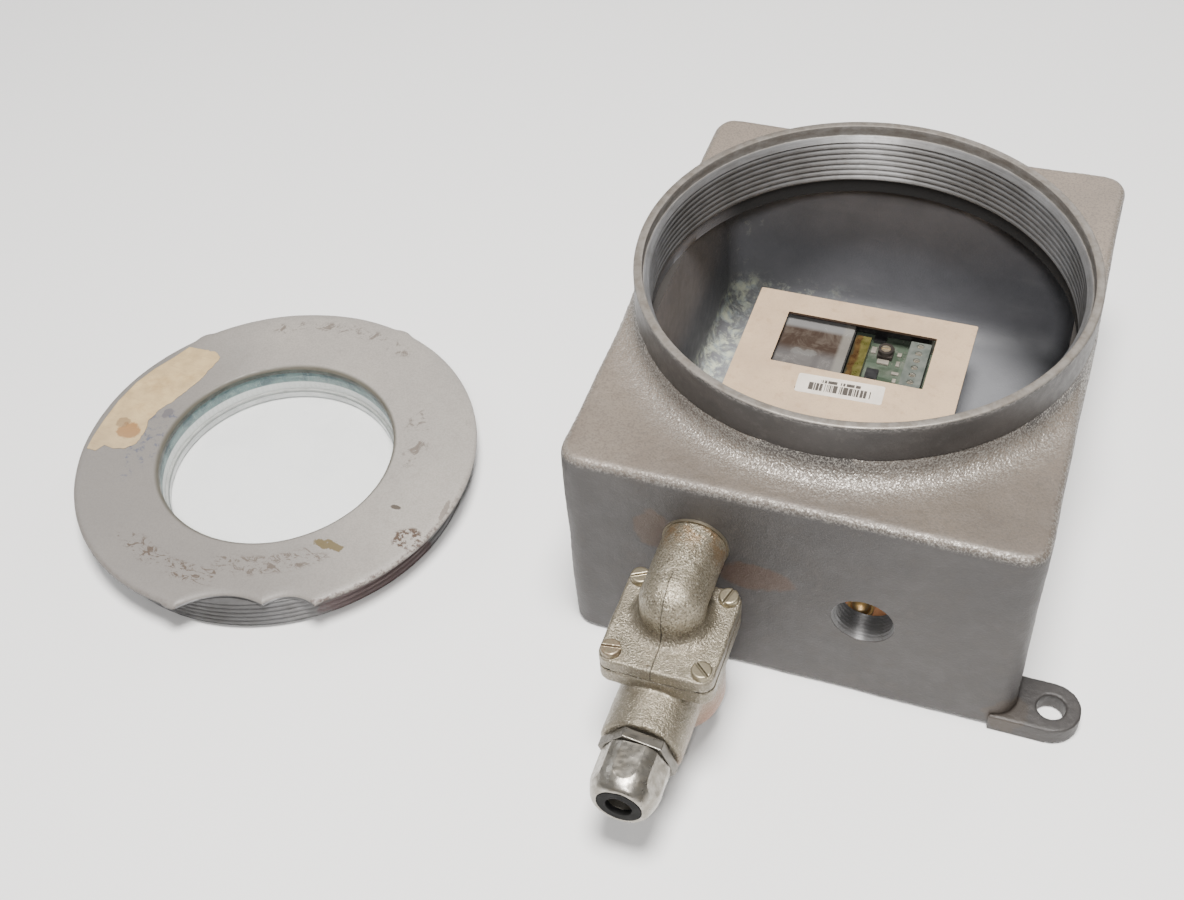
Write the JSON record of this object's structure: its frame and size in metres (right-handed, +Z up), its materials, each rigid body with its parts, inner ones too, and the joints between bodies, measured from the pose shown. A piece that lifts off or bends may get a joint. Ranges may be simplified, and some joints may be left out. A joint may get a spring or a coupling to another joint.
{
  "type": "flameproof sight glass enclosure",
  "caption": "Cast box with a threaded round collar, an unscrewed round window cover beside it, an instrument inside, and a flanged cable entry elbow with a gland.",
  "frame": {"origin": "middle of the enclosure's base, midway between its two lug holes, on the surface it stands on", "axes": "+X to the right along the front wall, +Y from the front wall to the back wall, +Z up along the collar"},
  "size_m": [0.4919, 0.3459, 0.138],
  "materials": {
    "enclosure_casting": "cast aluminium under worn warm grey paint, fine sand-cast grain",
    "cover_casting": "cast aluminium under light warm grey paint, bare machined thread",
    "bare_aluminium": "machined aluminium",
    "entry_casting": "rough bright die casting, tarnished",
    "nickel_brass": "nickel-plated brass, dull and dirty",
    "brass": "bright brass",
    "plain_steel": "zinc-plated steel",
    "screw_steel": "zinc-plated steel",
    "faceplate_metal": "pale beige anodised sheet",
    "label_paper": null,
    "display_plastic": "dark moulded plastic",
    "display_glass": "grey display glass",
    "flex_film": "olive-brown ribbon",
    "board_laminate": "green solder mask",
    "chip_plastic": "black moulded plastic",
    "terminal_plastic": "grey moulded plastic",
    "gasket_rubber": "black rubber",
    "seal_rubber": "black rubber",
    "clear_glass": "thick clear toughened glass",
    "sealing_compound": "blue-green sealing compound"
  },
  "bodies": {
    "enclosure": {"enclosure_body": "enclosure_casting", "enclosure_collar": "enclosure_casting", "mounting_lugs": "enclosure_casting", "instrument_chassis": "plain_steel", "lower_posts": "nickel_brass", "circuit_board": "board_laminate", "upper_posts": "nickel_brass", "instrument_faceplate": "faceplate_metal", "faceplate_label": "label_paper", "display_frame": "display_plastic", "display_glass": "display_glass", "display_flex_strip": "flex_film", "board_chips": "chip_plastic", "adjuster_body": "chip_plastic", "adjuster_screw": "brass", "terminal_block": "terminal_plastic", "terminal_screws": "screw_steel", "entry_nipple": "plain_steel", "entry_washer": "plain_steel", "entry_elbow": "entry_casting", "flange_gasket": "gasket_rubber", "lower_chamber": "entry_casting", "flange_screws": "nickel_brass", "gland_sealing_ring": "gasket_rubber", "gland_body": "nickel_brass", "gland_seal": "seal_rubber"},
    "cover_seal": {"lens_gasket": "seal_rubber"},
    "cover": {"cover_ring": "cover_casting", "sight_glass_lens": "clear_glass", "lens_cement": "sealing_compound", "lens_retaining_ring": "bare_aluminium", "retaining_ring_screws": "screw_steel"},
    "slip_washer": {"gland_slip_washer": "nickel_brass"},
    "nut": {"gland_nut": "nickel_brass", "gland_front_ring": "seal_rubber"}
  },
  "joints": [
    {"name": "cover_rise", "type": "slide", "parent": "enclosure", "child": "cover_seal", "axis": [0, 0, 1], "range_m": [0, 0.0181]},
    {"name": "cover_turn", "type": "hinge", "parent": "cover_seal", "child": "cover", "pos_m": [-0.2677, -0.0798, 0], "axis": [0, 0, 1], "range_deg": [0, 2160]},
    {"name": "gland_slide", "type": "slide", "parent": "enclosure", "child": "slip_washer", "axis": [0, -1, 0], "range_m": [0, 0.0038]},
    {"name": "gland_turn", "type": "hinge", "parent": "slip_washer", "child": "nut", "pos_m": [-0.0386, -0.2, 0.038], "axis": [0, -1, 0], "range_deg": [0, 900]}
  ],
  "couplings": [
    {"joint": "cover_rise", "follows": "cover_turn", "m_per_rad": 0.00047746},
    {"joint": "gland_slide", "follows": "gland_turn", "m_per_rad": 0.00023873}
  ]
}
